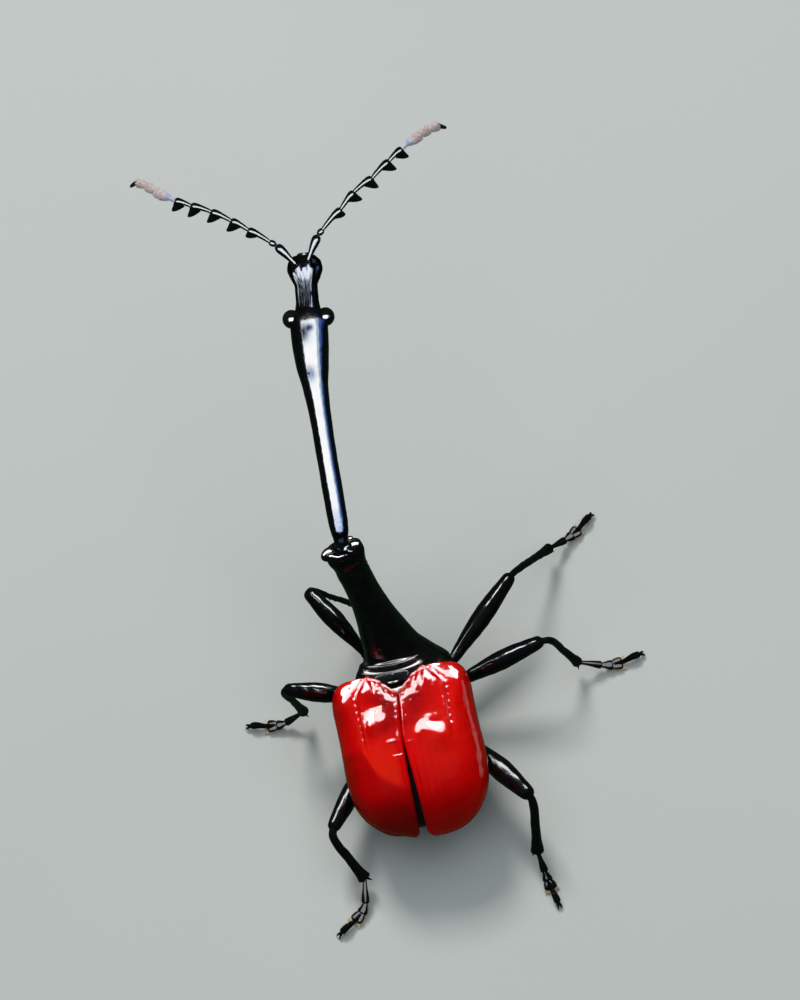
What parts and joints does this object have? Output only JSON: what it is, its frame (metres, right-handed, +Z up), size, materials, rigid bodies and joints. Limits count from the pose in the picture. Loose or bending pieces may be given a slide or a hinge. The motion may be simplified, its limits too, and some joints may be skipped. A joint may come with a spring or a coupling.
{
  "type": "giraffe weevil",
  "caption": "Male giraffe weevil standing with its long neck raised and feelers spread: a still, life-size display model of the beetle.",
  "frame": {"origin": "on the floor under the middle of the model's box", "axes": "+Z up from the floor, the head towards -Y, +X to the weevil's left"},
  "size_m": [0.0178, 0.029, 0.0149],
  "materials": {
    "black_cuticle": "glossy black cuticle",
    "red_cuticle": "glossy red cuticle",
    "feeler_club": "matt, finely haired",
    "eye": "polished black"
  },
  "bodies": {
    "root": {"abdomen": "black_cuticle", "hind_thorax": "black_cuticle", "prothorax": "black_cuticle", "neck": "black_cuticle", "head": "black_cuticle", "rostrum": "black_cuticle", "mandible_left": "black_cuticle", "mandible_right": "black_cuticle", "scape_left": "black_cuticle", "scape_right": "black_cuticle", "funicle_left": "black_cuticle", "funicle_right": "black_cuticle", "coxa_front_left": "black_cuticle", "femur_front_left": "black_cuticle", "tibia_front_left": "black_cuticle", "tarsus_front_left": "black_cuticle", "coxa_front_right": "black_cuticle", "femur_front_right": "black_cuticle", "tibia_front_right": "black_cuticle", "tarsus_front_right": "black_cuticle", "coxa_mid_left": "black_cuticle", "femur_mid_left": "black_cuticle", "tibia_mid_left": "black_cuticle", "tarsus_mid_left": "black_cuticle", "coxa_mid_right": "black_cuticle", "femur_mid_right": "black_cuticle", "tibia_mid_right": "black_cuticle", "tarsus_mid_right": "black_cuticle", "coxa_hind_left": "black_cuticle", "femur_hind_left": "black_cuticle", "tibia_hind_left": "black_cuticle", "tarsus_hind_left": "black_cuticle", "coxa_hind_right": "black_cuticle", "femur_hind_right": "black_cuticle", "tibia_hind_right": "black_cuticle", "tarsus_hind_right": "black_cuticle", "wing_case_left": "red_cuticle", "wing_case_right": "red_cuticle", "club_left": "feeler_club", "club_right": "feeler_club", "eye_left": "eye", "eye_right": "eye"}
  },
  "joints": []
}
